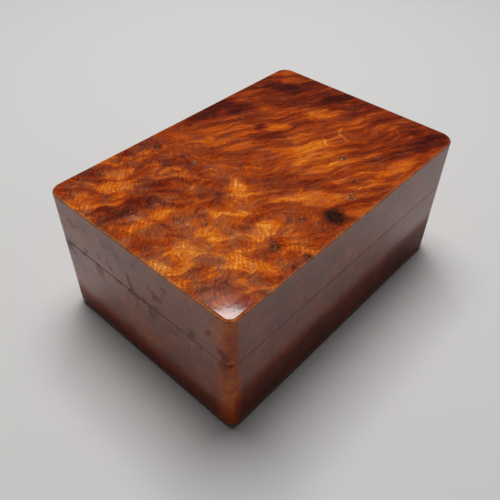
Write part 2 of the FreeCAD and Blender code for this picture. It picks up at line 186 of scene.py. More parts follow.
def round_plan(s, t, half_x, half_y, radius):
    """Moves points of a rectangle so that its corners become arcs, and lines near its sides follow them."""
    core_x, core_y = half_x - radius, half_y - radius
    dx, dy = np.abs(s) - core_x, np.abs(t) - core_y
    corner = (dx > 0) & (dy > 0)
    length = np.where(corner, np.hypot(dx, dy), 1.0)
    reach = np.maximum(dx, dy)
    x = np.where(corner, core_x + dx / length * reach, np.abs(s)) * np.sign(s)
    y = np.where(corner, core_y + dy / length * reach, np.abs(t)) * np.sign(t)
    return x, y


class Shell:
    """Collects the points and faces of one closed mesh, with how worn each point is: 1 on a rubbed arris."""

    def __init__(self):
        self.points = np.zeros((0, 3))
        self.wear = np.zeros(0)
        self.faces = []
        self.face_materials = []

    def add_points(self, points, wear=0.0):
        """Adds points and gives their numbers."""
        first = len(self.points)
        points = np.asarray(points, float).reshape(-1, 3)
        wear = np.broadcast_to(np.asarray(wear, float).ravel(), len(points))
        self.points = np.concatenate([self.points, points])
        self.wear = np.concatenate([self.wear, wear])
        return np.arange(first, first + len(points))

    def add_faces(self, faces, material=0, flip=False):
        """Adds faces, turned over if flip is set."""
        faces = [list(face)[::-1] if flip else list(face) for face in faces]
        self.faces.extend(faces)
        self.face_materials.extend([material] * len(faces))

    def bridge(self, ring_a, ring_b, material=0, flip=False):
        """Quads between two rings of equal length."""
        quads = np.stack([ring_a, np.roll(ring_a, -1), np.roll(ring_b, -1), ring_b], -1)
        self.add_faces(quads.tolist(), material, flip)

    def build(self, name, materials):
        """Makes the finished object."""
        return make_object(name, self.points, self.faces, materials, self.face_materials, self.wear)


def grid_quads(index):
    """Faces of a grid of points."""
    corners = [index[:-1, :-1], index[1:, :-1], index[1:, 1:], index[:-1, 1:]]
    return np.stack(corners, -1).reshape(-1, 4).tolist()


def grid_ring(index):
    """The points round a grid's border, in order."""
    return np.concatenate([index[:, 0], index[-1, 1:], index[-2::-1, -1], index[0, -2:0:-1]])


def slab(outer_z, inner_z, half_x, half_y, corner, arris, step, relief, tongue=None):
    """A slab with a fine grid and a rounded arris on its outer face, which may be above or below the other.

    corner(x, y) is the rounding of the upright corner in a point's quarter, and relief(x, y) is added to
    the outer face's height. tongue is (half x, half y, z) of a block raised on the inner face. Only the
    outer face has material 0.
    """
    up = 1 if outer_z > inner_z else -1
    shell = Shell()
    lines_x = line_places(half_x, step, arris, CORNER)
    lines_y = line_places(half_y, step, arris, CORNER)
    s, t = np.meshgrid(lines_x, lines_y, indexing="ij")
    radius = corner(s, t)
    x, y = round_plan(s, t, half_x, half_y, radius)
    inset = np.minimum(half_x - np.abs(s), half_y - np.abs(t))
    across = np.clip(inset, 0, arris)
    drop = arris - np.sqrt(arris**2 - (arris - across) ** 2)
    flat = np.clip(inset / arris - 1, 0, 1)
    z = outer_z - up * drop + relief(x, y) * flat
    worn = np.clip(1 - np.abs(inset - WEAR_MIDDLE * arris) / (WEAR_REACH * arris), 0, 1)
    index = shell.add_points(np.stack([x, y, z], -1), worn).reshape(s.shape)
    shell.add_faces(grid_quads(index), flip=up < 0)
    ring = grid_ring(index)
    edge_s, edge_t, edge_radius = s.ravel()[ring], t.ravel()[ring], radius.ravel()[ring]
    edge_x, edge_y = round_plan(edge_s, edge_t, half_x, half_y, edge_radius)

    def level_ring(shrink, height):
        """The slab's outline at a height, drawn in by shrink."""
        plan = [edge_x * (1 - shrink / half_x), edge_y * (1 - shrink / half_y), np.full(len(ring), height)]
        return shell.add_points(np.stack(plan, -1))

    heights = np.linspace(outer_z - up * arris, inner_z + up * GLUED_ARRIS, SIDE_ROWS + 1)[1:]
    rings = [ring] + [level_ring(0, height) for height in heights]
    if tongue:
        rings.append(level_ring(GLUED_ARRIS, inner_z))
        tongue_x, tongue_y, tongue_z = tongue
        for height in (inner_z, tongue_z):
            plan = [edge_s * tongue_x / half_x, edge_t * tongue_y / half_y, np.full(len(ring), height)]
            rings.append(shell.add_points(np.stack(plan, -1)))
        shell.add_faces([rings[-1][::-1].tolist()], material=1, flip=up < 0)
    else:
        plan = [x * (1 - GLUED_ARRIS / half_x), y * (1 - GLUED_ARRIS / half_y), np.full_like(x, inner_z)]
        back = shell.add_points(np.stack(plan, -1)).reshape(s.shape)
        shell.add_faces(grid_quads(back), material=1, flip=up > 0)
        rings.append(grid_ring(back))
    for ring_a, ring_b in zip(rings, rings[1:]):
        shell.bridge(ring_b, ring_a, material=1, flip=up < 0)
    return shell


def flat_relief(x, y):
    """No relief."""
    return np.zeros_like(x)


def soft_noise(x, y, seed, pitch):
    """Smooth noise in -1..1 over the plan: sine waves whose directions and phases come from a seed."""
    waves = 8
    rng = np.random.default_rng(seed)
    total = np.zeros_like(x)
    for _ in range(waves):
        angle, phase = rng.uniform(0, 2 * math.pi, 2)
        wave = 2 * math.pi / (pitch * rng.uniform(0.7, 1.6))
        total += np.sin(wave * (x * math.cos(angle) + y * math.sin(angle)) + phase)
    return total / waves


# ---------------------------------------------------------------- mitred walls


def wall_stations(half_span, reach, left_radius, right_radius):
    """Matching outer and inner plan points along a wall that stands at the front, from mitre to mitre."""
    half_span = half_span - MITRE_GAP
    turn = np.linspace(math.radians(225), math.radians(270), ARC_STEPS + 1)
    arc = np.stack([np.cos(turn), np.sin(turn)], -1)
    left = left_radius * (arc + 1) - [half_span, reach]
    right = (right_radius * (arc + 1) - [half_span, reach])[::-1] * [-1, 1]
    first, last = left_radius - half_span, half_span - right_radius
    middle = np.linspace(first, last, round((last - first) / WALL_STEP) + 1)[1:-1]
    outer = np.concatenate([left, np.stack([middle, np.full(len(middle), -reach)], -1), right])
    inner_half = half_span - WALL
    squeeze = np.linspace(-inner_half, INNER_END - inner_half, ARC_STEPS + 1)
    inner_middle = np.interp(middle, [first, last], [INNER_END - inner_half, inner_half - INNER_END])
    inner_x = np.concatenate([squeeze, inner_middle, -squeeze[::-1]])
    return outer, np.stack([inner_x, np.full(len(inner_x), WALL - reach)], -1)


def row_heights(foot, top, foot_is_rim):
    """Heights of the rows of points up a wall's outer face, close together near its rim."""
    rim, far = (foot, top) if foot_is_rim else (top, foot)
    way = 1 if foot_is_rim else -1
    near = rim + way * np.arange(0, RIM_ZONE, RIM_ZONE / RIM_ROWS)
    rest = np.linspace(rim + way * RIM_ZONE, far, round((abs(far - rim) - RIM_ZONE) / WALL_STEP) + 1)
    return np.sort(np.concatenate([near, rest]))


def arris_rows(radius):
    """Points round an arris as (distance in from the face it starts on, from the other face, wear).

    A rim is rounded, and a glued edge is only broken.
    """
    steps = ARRIS_STEPS if radius == RIM_ARRIS else 1
    rows = []
    for angle in np.linspace(0, math.pi / 2, steps + 1):
        rows.append((radius * (1 - math.cos(angle)), radius * (1 - math.sin(angle)), math.sin(2 * angle)))
    return rows


def wall_section(foot, top, foot_arris, top_arris):
    """Section of a wall as (depth, height, wear) rows: up the outer face, over the top and back down."""
    heights = row_heights(foot + foot_arris, top - top_arris, foot_arris > top_arris)
    top_rows, foot_rows = arris_rows(top_arris), arris_rows(foot_arris)
    section = [(0, height, 0) for height in heights]
    section += [(near, top - far, wear) for near, far, wear in top_rows[1:]]
    section += [(WALL - far, top - near, wear) for near, far, wear in top_rows]
    section += [(WALL - near, foot + far, wear) for near, far, wear in foot_rows]
    section += [(far, foot + near, wear) for near, far, wear in foot_rows[:-1]]
    return section


def wall(name, node, turn, half_span, reach, foot_arris, top_arris, foot_at, body):
    """A mitred wall with eased arrises, made at the front and then turned about Z by turn degrees.

    foot_at(y) is the height of its lower edge, which may slope along the wall.
    """
    top = node_box(node)[1].z
    turned = np.array(Matrix.Rotation(math.radians(turn), 2)).T
    ends = np.array([[-half_span, -reach], [half_span, -reach]]) @ turned
    outer, inner = wall_stations(half_span, reach, *corner_radius(*ends.T))
    outer, inner = outer @ turned, inner @ turned
    shell = Shell()
    rings = []
    for start, end in zip(outer, inner):
        section = wall_section(foot_at(start[1]), top, foot_arris, top_arris)
        inward = (end - start) / WALL
        points = [(*(start + inward * depth), height) for depth, height, _ in section]
        wear = [worn for _, _, worn in section]
        rings.append(shell.add_points(points, wear))
    for ring_a, ring_b in zip(rings, rings[1:]):
        quads = np.stack([ring_a, ring_b, np.roll(ring_b, -1), np.roll(ring_a, -1)], -1)
        shell.add_faces(quads.tolist())
    shell.add_faces([rings[0].tolist()])
    shell.add_faces([rings[-1][::-1].tolist()])
    press_dent(shell.points)
    add_piece(shell.build(name, [side_wood]), body, "side_wood", node)


def press_dent(points):
    """Presses the small knock in the seam at the front left corner."""
    inset = NEAR_CORNER * (1 - math.sqrt(0.5))
    middle = np.array([inset - HALF_X, inset - HALF_Y, BASE_RIM_Z])
    distance = np.linalg.norm((points - middle) / [1, 1, DENT_FLATNESS], axis=1)
    depth = DENT_DEPTH * np.clip(1 - (distance / DENT_RADIUS) ** 2, 0, 1) ** 2
    points[:, 0] += depth
    points[:, 1] += depth


# ---------------------------------------------------------------- node helpers


class Graph:
    """Builds a material's node tree; each call makes one node and gives its output."""

    def __init__(self, name):
        self.material = bpy.data.materials.new(name)
        self.material.use_nodes = True
        self.tree = self.material.node_tree
        self.tree.nodes.clear()

    def node(self, kind, inputs=None, output=0, **settings):
        """Any shader node: its inputs by number or name, and its settings by name."""
        made = self.tree.nodes.new("ShaderNode" + kind)
        for key, value in settings.items():
            setattr(made, key, value)
        for key, value in (inputs or {}).items():
            self.feed(made.inputs[key], value)
        return made.outputs[output]

    def feed(self, socket, value):
        """Links another node's output to an input, or sets the input to a fixed value."""
        if isinstance(value, bpy.types.NodeSocket):
            self.tree.links.new(value, socket)
        else:
            socket.default_value = value

    def maths(self, operation, a, b=0.0, c=0.0):
        return self.node("Math", {0: a, 1: b, 2: c}, operation=operation)

    def add(self, a, b):
        return self.maths("ADD", a, b)

    def times(self, a, b):
        return self.maths("MULTIPLY", a, b)

    def part(self, vector, axis):
        """The vector's X, Y or Z, for axis 0, 1 or 2."""
        return self.node("SeparateXYZ", {0: vector}, axis)

    def vector(self, operation, a, b):
        return self.node("VectorMath", {0: a, 1: b}, operation=operation)

    def length(self, vector):
        return self.node("VectorMath", {0: vector}, 1, operation="LENGTH")

    def scaled(self, vector, factor):
        return self.node("VectorMath", {0: vector, "Scale": factor}, operation="SCALE")

    def noise(self, vector, pitch, detail=2.0, roughness=0.5, colour=False):
        """Noise round one half: pitch is the size of its coarsest grains, and colour gives three noises."""
        inputs = {"Vector": vector, "Scale": 1 / pitch, "Detail": detail, "Roughness": roughness}
        return self.node("TexNoise", inputs, output=1 if colour else 0)

    def remap(self, value, low, high, to_low=0.0, to_high=1.0, smooth=False):
        """Takes low..high to to_low..to_high, and stays at the ends beyond."""
        inputs = {"Value": value, "From Min": low, "From Max": high, "To Min": to_low, "To Max": to_high}
        return self.node("MapRange", inputs, interpolation_type="SMOOTHSTEP" if smooth else "LINEAR")

    def ramp(self, value, stops):
        """Colour of a value, from a list of (value, colour)."""
        made = self.tree.nodes.new("ShaderNodeValToRGB")
        self.feed(made.inputs[0], value)
        elements = made.color_ramp.elements
        while len(elements) < len(stops):
            elements.new(0.5)
        for element, (place, colour) in zip(elements, stops):
            element.position = place
            element.color = colour
        return made.outputs[0]

    def mix(self, factor, a, b):
        """Colour a where the factor is 0 and b where it is 1."""
        return self.node("Mix", {0: factor, 6: a, 7: b}, 2, data_type="RGBA")

    def mix_vectors(self, factor, a, b):
        """Vector a where the factor is 0 and b where it is 1."""
        return self.node("Mix", {0: factor, 4: a, 5: b}, 1, data_type="VECTOR")

    def mapped(self, vector, place=(0, 0, 0), turn=0.0, size=(1, 1, 1)):
        """The vector as seen from a frame at a place, turned about Z and stretched by size."""
        inputs = {"Vector": vector, "Location": place, "Rotation": (0, 0, math.radians(turn)), "Scale": size}
        return self.node("Mapping", inputs, vector_type="TEXTURE")

    def millimetres(self):
        """The point's own place in the piece at rest, in millimetres."""
        return self.scaled(self.node("TexCoord", output=3), 1 / MM)

    def bump(self, height, strength, distance):
        inputs = {"Height": height, "Strength": strength, "Distance": distance * MM}
        return self.node("Bump", inputs)

    def surface(self, **inputs):
        """Ends the tree with one shader, whose inputs are given by name, and gives the material."""
        shader = self.tree.nodes.new("ShaderNodeBsdfPrincipled")
        for key, value in inputs.items():
            self.feed(shader.inputs[key.replace("_", " ").title().replace("Ior", "IOR")], value)
        target = self.tree.nodes.new("ShaderNodeOutputMaterial")
        self.tree.links.new(shader.outputs[0], target.inputs[0])
        return self.material


def srgb(red, green, blue):
    """Scene-linear opaque colour of an sRGB colour given as 0..255."""
    values = np.array([red, green, blue]) / 255
    return (*np.where(values <= 0.04045, values / 12.92, ((values + 0.055) / 1.055) ** 2.4), 1)


# ---------------------------------------------------------------- burl

# Height of the ellipses that are meant in plan only.
FLATTENED = 1000

# Height round which the painted reflections on the left end lie: dark marks that stand in for mirrored
# shapes.
REFLECTION_MARK_HEIGHT = 31.0

# Colours of the burl from its darkest to its palest: where it is clear and glowing, and where it is clouded.
RICH_STOPS = [
    (0.00, srgb(62, 16, 8)),
    (0.22, srgb(106, 30, 8)),
    (0.45, srgb(150, 55, 9)),
    (0.68, srgb(190, 84, 14)),
    (0.86, srgb(219, 120, 22)),
    (1.00, srgb(238, 160, 58)),
]
DULL_STOPS = [
    (0.00, srgb(44, 20, 14)),
    (0.22, srgb(88, 38, 26)),
    (0.45, srgb(128, 62, 36)),
    (0.68, srgb(164, 92, 50)),
    (0.86, srgb(196, 126, 70)),
    (1.00, srgb(226, 168, 110)),
]

# The top's figure is curly left of the first of these X and drawn out into flames right of the second.
CURLS_UNTIL, FLAMES_FROM = -20, 8

# Landmarks of the figure: x, y, half length, half width, direction in degrees, and tone. A positive tone is a
# pale flame and a negative one a dark cloud. LANDMARK_SHARE is how far they override the noise.
LANDMARK_SHARE = 0.72
LANDMARKS = [
    (-36.0, 22.0, 9.0, 4.6, 45, 0.34),
    (-46.5, 21.0, 3.0, 4.0, 0, 0.20),
    (-19.7, 27.2, 6.0, 2.6, -10, 0.24),
    (-4.7, 19.7, 8.5, 2.4, -25, 0.16),
    (7.0, 16.4, 5.0, 3.0, -20, 0.14),
    (17.0, 9.3, 4.5, 2.6, -25, 0.32),
    (32.0, 3.9, 7.5, 3.4, -28, 0.30),
    (16.1, -6.5, 13.0, 4.6, -18, 0.28),
    (-2.0, -20.8, 10.0, 3.8, -38, 0.42),
    (-21.4, -19.5, 5.5, 3.6, 20, 0.28),
    (-42.0, -11.0, 8.0, 3.4, 40, 0.24),
    (-34.5, -22.0, 3.4, 6.0, 10, 0.26),
    (-30.0, -29.5, 8.0, 3.6, -10, 0.22),
    (21.0, -29.0, 10.0, 2.2, -18, 0.26),
    (-14.0, -2.0, 7.0, 2.8, 40, 0.22),
    (44.5, 27.0, 4.5, 7.0, 10, 0.26),
    (30.0, 22.6, 9.0, 2.4, -35, 0.14),
    (11.0, -15.0, 10.0, 3.4, -18, 0.30),
    (8.6, 32.6, 13.0, 3.0, 0, -0.46),
    (17.0, 25.0, 7.0, 5.0, -50, -0.34),
    (13.4, 13.5, 3.2, 2.2, -20, -0.40),
    (11.0, 7.8, 6.0, 3.4, -25, -0.34),
    (42.8, 6.8, 10.0, 4.4, -30, -0.38),
    (38.0, 26.0, 4.0, 6.5, 35, -0.36),
    (-38.0, 12.5, 13.0, 5.6, 0, -0.24),
    (-22.0, 0.0, 8.5, 5.0, -25, -0.24),
    (-4.0, -8.2, 12.5, 4.4, -38, -0.20),
    (-21.0, -14.5, 4.5, 2.0, 0, -0.26),
    (-38.9, -7.0, 4.0, 2.6, -40, -0.26),
    (40.0, -27.4, 12.0, 5.4, -15, -0.36),
    (-22.0, 31.8, 9.0, 2.2, 0, -0.20),
    (-33.0, -1.0, 7.0, 3.0, -20, -0.26),
    (-46.5, -4.0, 3.0, 4.0, 0, -0.22),
    (-12.5, -15.5, 5.0, 1.8, -35, -0.22),
    (31.0, 14.5, 9.0, 3.6, -40, -0.24),
    (30.0, -14.0, 14.0, 3.0, -20, -0.12),
]

# Broad shading of the top, in the same form: it is paler towards the front left and darker to the right.
CLOUDS = [
    (-30.0, -8.0, 30.0, 18.0, 0, 0.17),
    (-26.0, -26.0, 22.0, 8.0, -5, 0.08),
    (12.0, -9.0, 14.0, 7.0, -20, 0.10),
    (14.0, 16.0, 14.0, 8.0, -30, -0.07),
    (30.0, 30.0, 34.0, 12.0, -12, -0.19),
    (46.0, 4.0, 12.0, 26.0, 0, -0.19),
    (40.0, -27.0, 18.0, 9.0, -15, -0.14),
    (-6.0, -29.0, 6.0, 5.0, 0, -0.08),
]

# Fine pale lines on the top, in the same form.
PALE_LINES = [
    (21.0, -5.7, 2.9, 0.45, 48, 0.22),
    (28.6, -6.1, 2.4, 0.45, 18, 0.26),
    (26.3, -9.2, 3.0, 0.45, 74, 0.28),
    (-18.0, 7.5, 2.4, 0.30, -60, 0.24),
    (-30.5, 6.5, 2.2, 0.26, -55, 0.22),
    (-13.0, -1.0, 3.0, 0.30, 40, 0.22),
]

# Veins: the level of the noise that a vein follows, its half width in that noise, and its tone.
VEINS = [
    (0.545, 0.018, 0.15),
    (0.50, 0.012, -0.12),
    (0.44, 0.022, -0.14),
]

# Cross ribs: their spacing and tone.
RIB_PITCH = 1.15
RIB_TONE = 0.055

# Knots of the top: x, y and radius, how dark they are, and how pale the specks inside.
KNOTS = [
    (-5.7, -29.2, 4.0, 1.0, 0.0),
    (-24.9, -25.9, 2.2, 0.75, 0.35),
    (3.2, -28.2, 1.6, 0.4, 0.6),
    (17.4, -14.9, 1.4, 0.6, 0.7),
    (-30.3, -7.4, 1.3, 0.6, 0.4),
    (-15.4, 28.5, 1.6, 0.6, 0.2),
    (-39.7, -20.7, 1.1, 0.4, 0.8),
    (-11.8, -23.6, 1.6, 0.55, 0.4),
    (0.3, 7.6, 1.2, 0.4, 0.2),
    (-6.4, 3.5, 1.5, 0.5, 0.2),
    (-13.9, 14.3, 1.1, 0.5, 0.9),
    (-21.9, -34.0, 1.8, 0.8, 0.2),
]


def warped(graph, place, strength, pitch):
    """The place moved by smooth noise."""
    shift = graph.vector("SUBTRACT", graph.noise(place, pitch, colour=True), (0.5, 0.5, 0.5))
    return graph.vector("ADD", place, graph.scaled(shift, strength))


def fibres(graph, place, length, width, turn, detail=3.0, roughness=0.6):
    """Noise drawn out along one direction in plan."""
    drawn_out = graph.mapped(place, turn=turn, size=(length, width, width * 2))
    return graph.noise(drawn_out, 1.0, detail, roughness)


def weighted_sum(graph, start, terms):
    """start plus, for each (value, weight), the value's distance from one half times its weight."""
    total = start
    for value, weight in terms:
        centred = graph.maths("SUBTRACT", value, 0.5)
        total = graph.maths("MULTIPLY_ADD", centred, weight, total)
    return total


def blend(graph, factor, a, b):
    """Number a where the factor is 0 and b where it is 1."""
    return graph.maths("MULTIPLY_ADD", factor, graph.maths("SUBTRACT", b, a), a)


def patch(graph, place, x, y, length, width, turn, inner=0.2, outer=1.3):
    """A soft-edged ellipse in plan: 1 in the middle, 0 outside. inner and outer are shares of its radius."""
    local = graph.mapped(place, (x, y, TOP_Z), turn, (length, width, FLATTENED))
    return graph.remap(graph.length(local), inner, outer, 1.0, 0.0, smooth=True)


def add_patches(graph, total, place, patches, share=1.0, **edge):
    """The total with the tones of a list of ellipses added."""
    for x, y, length, width, turn, tone in patches:
        spot = patch(graph, place, x, y, length, width, turn, **edge)
        total = graph.maths("MULTIPLY_ADD", spot, share * tone, total)
    return total


def top_wood_material():
    """Lacquered burl of the lid's top: curly on the left, drawn out into flames on the right."""
    graph = Graph("top_burl")
    place = graph.millimetres()
    along = graph.part(place, 0)
    rightness = graph.remap(along, CURLS_UNTIL, FLAMES_FROM, smooth=True)
    leftness = graph.maths("SUBTRACT", 1.0, rightness)
    edge = warped(graph, warped(graph, place, 6.0, 6.0), 2.5, 1.8)
    bent = warped(graph, place, graph.remap(rightness, 0, 1, 12, 7.5), 16)
    curl = warped(graph, bent, graph.remap(rightness, 0, 1, 5.5, 1.8), 5.5)
    fine = warped(graph, curl, 0.55, 1.4)

    swirls = fibres(graph, curl, 8.5, 3.4, -40, 2.5, 0.5)
    flames = fibres(graph, curl, 16.0, 2.8, -26, 2.5, 0.5)
    field = blend(graph, rightness, swirls, flames)
    field = add_patches(graph, field, edge, LANDMARKS, LANDMARK_SHARE)
    glow = graph.remap(field, 0.54, 0.62, smooth=True)
    shade = graph.remap(field, 0.46, 0.32, smooth=True)

    curly_grain = fibres(graph, fine, 2.4, 0.8, 40)
    straight_grain = fibres(graph, fine, 9.0, 0.8, -25)
    grain = blend(graph, rightness, curly_grain, straight_grain)
    mottle = graph.noise(place, 0.5, 1.5, 0.6)
    parts = [(field, 0.58), (glow, 0.13), (shade, -0.08), (grain, 0.55), (mottle, 0.35)]
    tone = weighted_sum(graph, 0.465, parts)
    shimmer = graph.times(leftness, graph.add(glow, 0.3))
    tone = graph.add(tone, ribs(graph, warped(graph, place, 3.0, 9), shimmer))
    tone = graph.add(tone, veins(graph, curl, fine, rightness))
    tone = graph.add(tone, curls(graph, fine, leftness))
    tone = add_patches(graph, tone, edge, CLOUDS)
    tone = add_patches(graph, tone, warped(graph, place, 1.2, 2.5), PALE_LINES, inner=0.5, outer=1.2)

    cloudiness = graph.remap(graph.noise(edge, 5, 3, 0.6), 0.38, 0.68)
    cloudiness = graph.times(cloudiness, graph.remap(along, -45, 20, 1.3, 0.35))
    cloudiness = graph.times(cloudiness, graph.maths("MULTIPLY_ADD", glow, -0.55, 1.0))
    rich, dull = graph.ramp(tone, RICH_STOPS), graph.ramp(tone, DULL_STOPS)
    colour = graph.mix(cloudiness, rich, dull)
    colour = add_knots(graph, colour, edge, place)
    colour = add_flecks(graph, colour, place)
    colour = add_worn_edge(graph, colour)

    peel = graph.noise(place, 1.3, 2)
    coat_normal = graph.bump(peel, 0.055, 0.1)
    normal = graph.bump(grain, 0.2, 0.1)
    return graph.surface(
        base_color=colour,
        roughness=graph.remap(mottle, 0.3, 0.7, 0.45, 0.6),
        specular_ior_level=0.0,
        normal=normal,
        coat_weight=1.0,
        coat_roughness=graph.remap(graph.noise(place, 12, 3), 0.3, 0.7, 0.06, 0.1),
        coat_normal=coat_normal,
    )


def ribs(graph, bent, weight):
    """Close cross ribs that shimmer in the curly half, in patches."""
    across = graph.part(graph.mapped(bent, turn=42), 1)
    wave = graph.maths("SINE", graph.times(across, 2 * math.pi / RIB_PITCH))
    where = graph.remap(graph.noise(bent, 9, 1), 0.42, 0.6, smooth=True)
    return graph.times(graph.times(graph.times(wave, where), RIB_TONE), weight)


def curls(graph, fine, leftness):
    """Overlapping curls with one crisp edge each, in the left half."""
    height = graph.noise(graph.mapped(fine, turn=-35, size=(9.0, 5.0, 6.0)), 1.0, 1.5, 0.5)
    layers = graph.maths("FRACT", graph.times(height, 7.0))
    where = graph.remap(graph.noise(fine, 4.5, 1), 0.38, 0.58, smooth=True)
    return graph.times(graph.times(graph.maths("SUBTRACT", layers, 0.5), 0.17), graph.times(where, leftness))


def veins(graph, curl, fine, rightness):
    """Thin pale ribbons and thin dark lines that follow the figure."""
    curly = graph.noise(curl, 4.2, 2.5, 0.5)
    straight = fibres(graph, fine, 14.0, 2.2, -24, 2.5, 0.5)
    height = blend(graph, rightness, curly, straight)
    tones = 0.0
    for level, width, strength in VEINS:
        away = graph.maths("ABSOLUTE", graph.maths("SUBTRACT", height, level))
        tones = graph.add(graph.remap(away, 0.25 * width, width, strength, 0.0, smooth=True), tones)
    where = graph.remap(graph.noise(fine, 2.6, 1), 0.40, 0.56)
    return graph.times(tones, graph.times(where, graph.remap(rightness, 0, 1, 0.55, 1.0)))


def add_knots(graph, colour, edge, place):
    """Small dark knots with a broken middle, some with pale specks."""
    specks = graph.remap(graph.noise(place, 0.6, 1), 0.56, 0.64)
    blurred = graph.mix_vectors(0.5, place, edge)
    broken = graph.remap(graph.noise(edge, 0.9, 1), 0.4, 0.6)
    dark = graph.mix(broken, srgb(30, 13, 9), srgb(62, 27, 15))
    for x, y, radius, darkness, paleness in KNOTS:
        distance = graph.length(graph.mapped(blurred, (x, y, TOP_Z), 0, (radius, radius, FLATTENED)))
        inside = graph.remap(distance, 0.45, 1.15, darkness, 0.0, smooth=True)
        colour = graph.mix(inside, colour, dark)
        if paleness:
            pale = graph.times(specks, graph.remap(distance, 0.5, 1.1, paleness, 0.0))
            colour = graph.mix(pale, colour, srgb(190, 158, 130))
    return colour


def add_flecks(graph, colour, place):
    """Whitish flecks where pores break the lacquer, most of them in one stretch on the left."""
    bent = warped(graph, place, 3.0, 4.0)
    specks = graph.remap(fibres(graph, bent, 2.6, 0.7, -25, 1.0, 0.5), 0.62, 0.72)
    sparse = graph.remap(graph.noise(bent, 5, 1), 0.50, 0.58)
    where = graph.maths("MULTIPLY_ADD", patch(graph, place, -38, 6, 11, 12, 0), 0.6, 0.12)
    return graph.mix(graph.times(graph.times(specks, sparse), where), colour, srgb(168, 136, 120))


def add_worn_edge(graph, colour):
    """Paler wood where the arrises are rubbed."""
    wear = graph.node("Attribute", output=2, attribute_name="wear")
    broken = graph.remap(graph.noise(graph.millimetres(), 1.6, 3, 0.7), 0.35, 0.6, 0.25, 1.0)
    return graph.mix(graph.times(graph.times(wear, broken), 0.55), colour, srgb(214, 150, 96))


def side_wood_material():
    """Darker, quieter burl for the walls.

    It is lacquered outside and nearly bare inside. Painted light: the upright corners, and a strip of the
    left end by its front corner, are paler and clearer. Painted shade: the wood is darker towards the foot
    and on the front
    face. Painted reflections: small dark marks round the seam of the left end.
    """
    graph = Graph("side_burl")
    place = graph.millimetres()
    bent = warped(graph, place, 9.0, 10)
    fine = warped(graph, bent, 2.5, 2.6)
    broad = graph.noise(bent, 9, 2)
    figure = graph.noise(fine, 2.6, 3, 0.6)
    grain = graph.noise(graph.mapped(fine, size=(3.0, 3.0, 0.7)), 1.0, 2, 0.6)
    height = graph.part(place, 2)
    # Painted shade: the front face is painted darker, and its dark band along the foot reaches higher.
    front = graph.remap(graph.part(place, 1), -HALF_Y + 0.6, -HALF_Y + 0.1, smooth=True)
    climb = graph.maths("MULTIPLY_ADD", front, -6.5, height)
    inside = both_ways(graph, place, WALL - 0.2, WALL - 0.05)
    # Painted light on the rounded upright corners and, by its front corner, on a strip of the left end.
    upright = both_ways(graph, place, 3.2, 1.2, smooth=True)
    # Painted reflections: small dark marks round the seam of the left end.
    painted_reflections = painted_reflection_marks(graph, place, height)
    painted_corner_light = graph.maths("MAXIMUM", upright, painted_corner_strip(graph, place))

    tone = weighted_sum(graph, 0.5, [(broad, 0.5), (figure, 0.45), (grain, 0.35)])
    # Painted shade: darker wood towards the foot, for the shade and the dark mirrored ground low on the
    # walls.
    tone = graph.add(tone, graph.remap(climb, 1.0, 12.0, -0.22, 0.0, smooth=True))
    # Painted shade on the front, painted reflections, and painted light on the corners; the bare inside is
    # darker.
    for part, strength in ((front, -0.07), (painted_reflections, -0.22), (painted_corner_light, 0.24), (inside, -0.02)):
        tone = graph.maths("MULTIPLY_ADD", part, strength, tone)
    cloudiness = graph.remap(graph.noise(bent, 6, 2), 0.3, 0.7, 0.15, 0.7)
    cloudiness = graph.times(cloudiness, graph.maths("SUBTRACT", 1.0, painted_corner_light))
    colour = graph.mix(cloudiness, graph.ramp(tone, RICH_STOPS), graph.ramp(tone, DULL_STOPS))
    colour = add_worn_edge(graph, colour)

    # Thinner lacquer on the painted shade at the foot and front, the painted reflections and the painted
    # corner light.
    lacquer = graph.remap(climb, 6.5, 13.0, 0.09, 0.9, smooth=True)
    for part, strength in ((front, -0.12), (painted_reflections, -0.45), (painted_corner_light, -0.5), (inside, -0.85)):
        lacquer = graph.times(lacquer, graph.maths("MULTIPLY_ADD", part, strength, 1.0))
    peel = graph.noise(place, 1.6, 2)
    return graph.surface(
        base_color=colour,
        specular_ior_level=0.08,
        roughness=graph.remap(figure, 0.3, 0.7, 0.4, 0.55),
        normal=graph.bump(grain, 0.2, 0.1),
        coat_weight=lacquer,
        coat_roughness=graph.remap(graph.noise(place, 9, 3), 0.3, 0.7, 0.10, 0.2),
        coat_normal=graph.bump(peel, 0.15, 0.1),
    )


def both_ways(graph, place, start, end, smooth=False):
    """1 where a point is end in from the box's sides both ways, falling to 0 where it is start in."""
    product = 1.0
    for axis, reach in ((0, HALF_X), (1, HALF_Y)):
        away = graph.maths("ABSOLUTE", graph.part(place, axis))
        product = graph.times(graph.remap(away, reach - start, reach - end, smooth=smooth), product)
    return product


def painted_corner_strip(graph, place):
    """Painted light on the left end, where the wood is painted paler and clearer: 1 at its front corner, 0
    further back.
    """
    ragged = warped(graph, place, 3.0, 5.0)
    near = graph.remap(graph.part(ragged, 1), -HALF_Y + 7.0, -HALF_Y + 2.5, smooth=True)
    at_left = graph.remap(graph.part(place, 0), -HALF_X + 4.0, -HALF_X + 2.0)
    return graph.times(near, at_left)


def painted_reflection_marks(graph, place, height):
    """Painted reflections on the left end, thickest round its seam: 1 inside a dark mark, 0 outside."""
    marks_place = warped(graph, graph.mapped(place, size=(1, 1, 1.4)), 2.5, 1.8)
    inside = graph.remap(graph.noise(marks_place, 3.4, 2, 0.5), 0.55, 0.64, smooth=True)
    away = graph.maths("ABSOLUTE", graph.maths("SUBTRACT", height, REFLECTION_MARK_HEIGHT))
    near_seam = graph.remap(away, 4.0, 11.0, 1.0, 0.1)
    at_left = graph.remap(graph.part(place, 0), -HALF_X + 0.2, -HALF_X + 1.5, 1.0, 0.2)
    return graph.times(graph.times(inside, near_seam), at_left)


# ---------------------------------------------------------------- brass, velvet and felt

